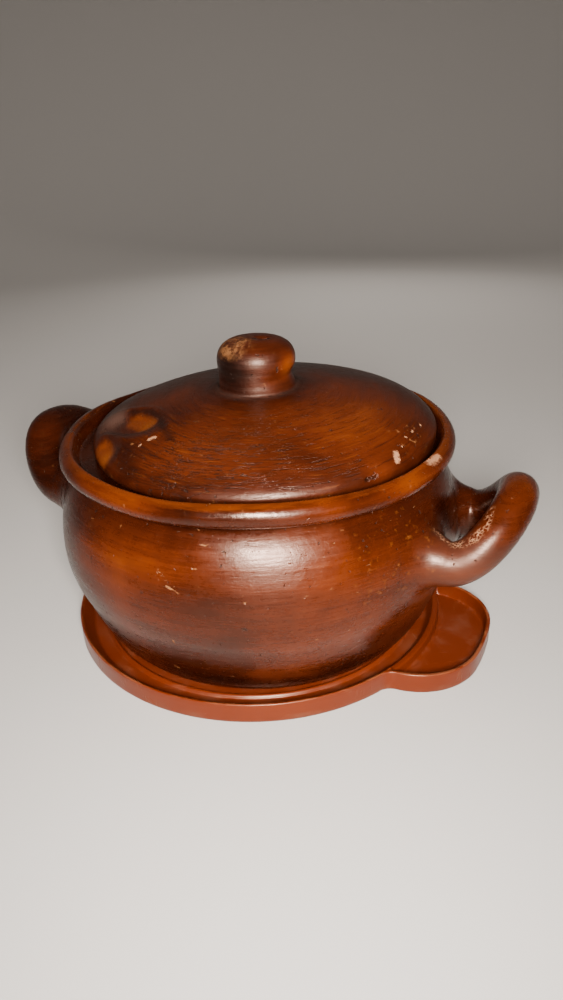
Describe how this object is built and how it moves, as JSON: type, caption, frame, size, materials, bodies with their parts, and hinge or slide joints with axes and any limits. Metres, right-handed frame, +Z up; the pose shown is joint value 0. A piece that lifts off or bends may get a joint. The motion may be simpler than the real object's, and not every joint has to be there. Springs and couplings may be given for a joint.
{
  "type": "clay casserole pot with lid and tray",
  "caption": "Burnished clay casserole pot with loop handles and a knobbed domed lid, on a moulded tray with a spoon rest.",
  "frame": {"origin": "the point on the pot's vertical axis where it meets the plane that the tray stands on", "axes": "+Z up; +X to the right with the spoon rest towards the front right; +Y away from the viewer"},
  "size_m": [0.3321, 0.261, 0.1927],
  "materials": {
    "pot_clay": "burnished unglazed clay, satin",
    "right_handle_clay": "burnished unglazed clay, satin",
    "left_handle_clay": "burnished unglazed clay, satin",
    "lid_clay": "burnished unglazed clay, satin",
    "knob_clay": "burnished unglazed clay, worn",
    "tray_plastic": "moulded plastic, satin gloss"
  },
  "bodies": {
    "tray": {"tray": "tray_plastic"},
    "pot": {"pot_bowl": "pot_clay", "right_handle": "right_handle_clay", "left_handle": "left_handle_clay"},
    "lid": {"lid_dome": "lid_clay", "lid_knob": "knob_clay"}
  },
  "joints": [
    {"name": "pot_lift", "type": "slide", "parent": "tray", "child": "pot", "axis": [0, 0, 1], "range_m": [0, 0.06]},
    {"name": "lid_lift", "type": "slide", "parent": "pot", "child": "lid", "axis": [0, 0, 1], "range_m": [0, 0.08]}
  ]
}
